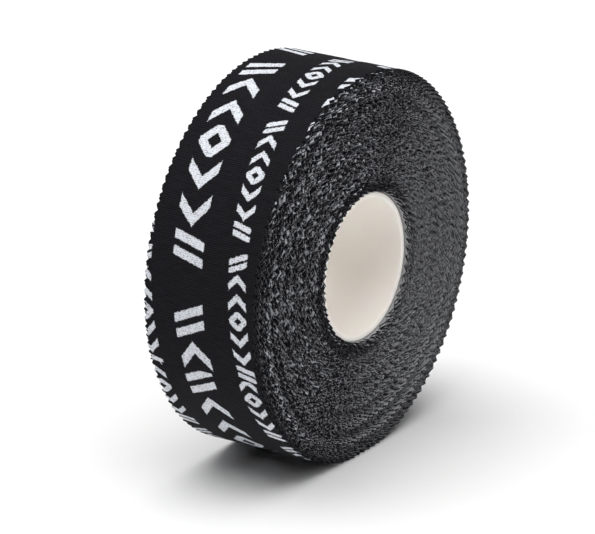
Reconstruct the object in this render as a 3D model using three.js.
// A roll of pinked-edge cotton hand-wrapping tape on its plastic core, standing on its rim.
//
// Units are millimetres. The roll's axis runs along Y, Z points up, and the origin is the point
// on the table under the middle of the roll. The side face at -Y is the near one.
//
// Angles are in degrees around the roll's axis, from +X towards +Z: 90 is the top of the roll,
// 180 is its front at -X and 270 is where it stands. The tape is one long strip, wound outwards
// as the angle rises, with its cloth side out and its adhesive side in. It ends at its free end,
// which can be peeled away. The stretch that peels is cut into short lengths that turn on each
// other, as a limp strip does.

import * as THREE from 'three';

// Driving dimensions
const tapeWidth = 25;
const tapeLength = 13700;
const clothThickness = 0.2;
const rollRadius = 38.74;
const coreRadius = 14.78;
const coreWall = 1.28;
const coreRim = 0.3;

// The free end, and the stretch before it that peels away
const freeEndAngle = 198.4;
const peelLengths = 4;
const peelLengthAngle = 15;
const peelGap = 0.3;

// The flat on which the roll stands, where its weight has pressed the soft turns in by 0.2
const footAngle = 270;
const footHalfAngle = 6;

// How finely curves are cut into facets
const facetAngle = 3.75;
const coreFacets = 72;

// Clearances between pieces that lie on each other
const layerClearance = 0.008;
const coreClearance = 0.04;
const buttClearance = 0.02;

// One turn adds the same thickness everywhere, so the strip's length and the ring it fills give it.
const ringArea = Math.PI * (rollRadius ** 2 - coreRadius ** 2);
const turnPitch = ringArea / tapeLength;
const freeEndRadius = rollRadius + turnPitch / 2;

// Angles along the winding: the last turn, the foot and the peeling lengths
const windingEnd = freeEndAngle + 360;
const windingStart = freeEndAngle;
const peelStart = windingEnd - peelLengths * peelLengthAngle;

const degrees = Math.PI / 180;
const tiny = 1e-6;

/** Radius of the cloth's outer side, at an angle on the last turn. */
function clothRadius(angle) {
  return freeEndRadius - turnPitch * (windingEnd - angle) / 360;
}

/** The angle that a length of arc takes up on the outside of the roll. */
function arcAngle(arcLength) {
  return arcLength / rollRadius / degrees;
}

/**
 * Corner angles from one key angle to the next, the same for every layer, so that facets match.
 * The foot is a single flat, so no corner lies inside it.
 */
function cornerAngles() {
  const keyAngles = [windingStart, footAngle - footHalfAngle, footAngle + footHalfAngle];
  for (let i = 0; i <= peelLengths; i += 1) {
    keyAngles.push(peelStart + i * peelLengthAngle);
  }
  const angles = [keyAngles[0]];
  for (let i = 1; i < keyAngles.length; i += 1) {
    const span = keyAngles[i] - keyAngles[i - 1];
    const facets = Math.max(1, Math.round(span / facetAngle));
    for (let facet = 1; facet <= facets; facet += 1) {
      angles.push(keyAngles[i - 1] + span * facet / facets);
    }
  }
  return angles.filter((angle) => Math.abs(angle - footAngle) > footHalfAngle - tiny);
}

const corners = cornerAngles();

/** The corners strictly between two angles, with the two angles themselves at the ends. */
function cornersBetween(start, end) {
  const inside = corners.filter((angle) => angle > start && angle < end);
  return [start, ...inside, end];
}

/** A point of a side-view outline, which is drawn in X and Z. */
function outlinePoint(radius, angle) {
  return new THREE.Vector2(radius * Math.cos(angle * degrees), radius * Math.sin(angle * degrees));
}

/** Gives an outline the tape's width, and turns it so that its depth runs along the roll's axis. */
function acrossTheTape(outline) {
  const geometry = new THREE.ExtrudeGeometry(outline, { depth: tapeWidth, bevelEnabled: false });
  geometry.translate(0, 0, -tapeWidth / 2);
  geometry.rotateX(Math.PI / 2);
  return geometry;
}

/** One layer of the last turn between two angles, from one depth under the cloth's outer side to another. */
function layer(start, end, topDepth, bottomDepth) {
  const angles = cornersBetween(start, end);
  const top = angles.map((angle) => outlinePoint(clothRadius(angle) - topDepth, angle));
  const bottom = angles.map((angle) => outlinePoint(clothRadius(angle) - bottomDepth, angle));
  return acrossTheTape(new THREE.Shape([...top, ...bottom.reverse()]));
}

/** The woven cloth of a stretch of the last turn. */
function clothLayer(start, end) {
  return layer(start, end, 0, clothThickness);
}

/** The adhesive spread under the cloth, which reaches down to the turn below. */
function adhesiveLayer(start, end) {
  return layer(start, end, clothThickness + layerClearance, turnPitch - layerClearance);
}

/** All the turns under the last one. Their outside steps up by one turn where the last one begins. */
function woundTurns() {
  const outside = corners.map((angle) => outlinePoint(clothRadius(angle) - turnPitch, angle));
  const outline = new THREE.Shape(outside);
  const bore = [];
  for (let i = 0; i < coreFacets; i += 1) {
    bore.push(outlinePoint(coreRadius + coreClearance, -i * 360 / coreFacets));
  }
  outline.holes.push(new THREE.Path(bore));
  return acrossTheTape(outline);
}

/** The tube that the tape is wound on, with the edges of both ends taken off. */
function coreTube() {
  const inner = coreRadius - coreWall;
  const end = tapeWidth / 2;
  const profile = [
    new THREE.Vector2(inner, -end + coreRim),
    new THREE.Vector2(inner + coreRim, -end),
    new THREE.Vector2(coreRadius - coreRim, -end),
    new THREE.Vector2(coreRadius, -end + coreRim),
    new THREE.Vector2(coreRadius, end - coreRim),
    new THREE.Vector2(coreRadius - coreRim, end),
    new THREE.Vector2(inner + coreRim, end),
    new THREE.Vector2(inner, end - coreRim),
    new THREE.Vector2(inner, -end + coreRim),
  ];
  return new THREE.LatheGeometry(profile, coreFacets);
}

// Finishes
const blackCloth = { color: 0x1f1e22, roughness: 0.92, metalness: 0 };
const cutEdges = { color: 0x2e2d31, roughness: 0.95, metalness: 0 };
const greyAdhesive = { color: 0x9a9892, roughness: 0.75, metalness: 0 };
const ivoryPlastic = { color: 0xe6ddd2, roughness: 0.45, metalness: 0 };

/** A named piece with a finish of its own. */
function piece(name, geometry, finish) {
  const mesh = new THREE.Mesh(geometry, new THREE.MeshStandardMaterial(finish));
  mesh.name = name;
  return mesh;
}

// The roll, with its axis lifted so that the flat of the outer turn is on the table
const footHeight = clothRadius(footAngle) * Math.cos(footHalfAngle * degrees);
const roll = new THREE.Group();
roll.position.z = footHeight;

const outerTurnStart = windingStart + arcAngle(buttClearance);
const outerTurnEnd = peelStart - arcAngle(peelGap / 2);
roll.add(
  piece('core_tube', coreTube(), ivoryPlastic),
  piece('wound_turns', woundTurns(), cutEdges),
  piece('outer_turn_cloth', clothLayer(outerTurnStart, outerTurnEnd), blackCloth),
  piece('outer_turn_adhesive', adhesiveLayer(outerTurnStart, outerTurnEnd), greyAdhesive),
);

// The peeling lengths, numbered from the roll to the free end
const freeEnd = new THREE.Group();
for (let i = 0; i < peelLengths; i += 1) {
  const start = peelStart + i * peelLengthAngle + arcAngle(peelGap / 2);
  const isLast = i === peelLengths - 1;
  const end = peelStart + (i + 1) * peelLengthAngle - (isLast ? 0 : arcAngle(peelGap / 2));
  freeEnd.add(
    piece(`free_end_cloth_${i + 1}`, clothLayer(start, end), blackCloth),
    piece(`free_end_adhesive_${i + 1}`, adhesiveLayer(start, end), greyAdhesive),
  );
}
roll.add(freeEnd);

const group = new THREE.Group();
group.add(roll);

export default group;
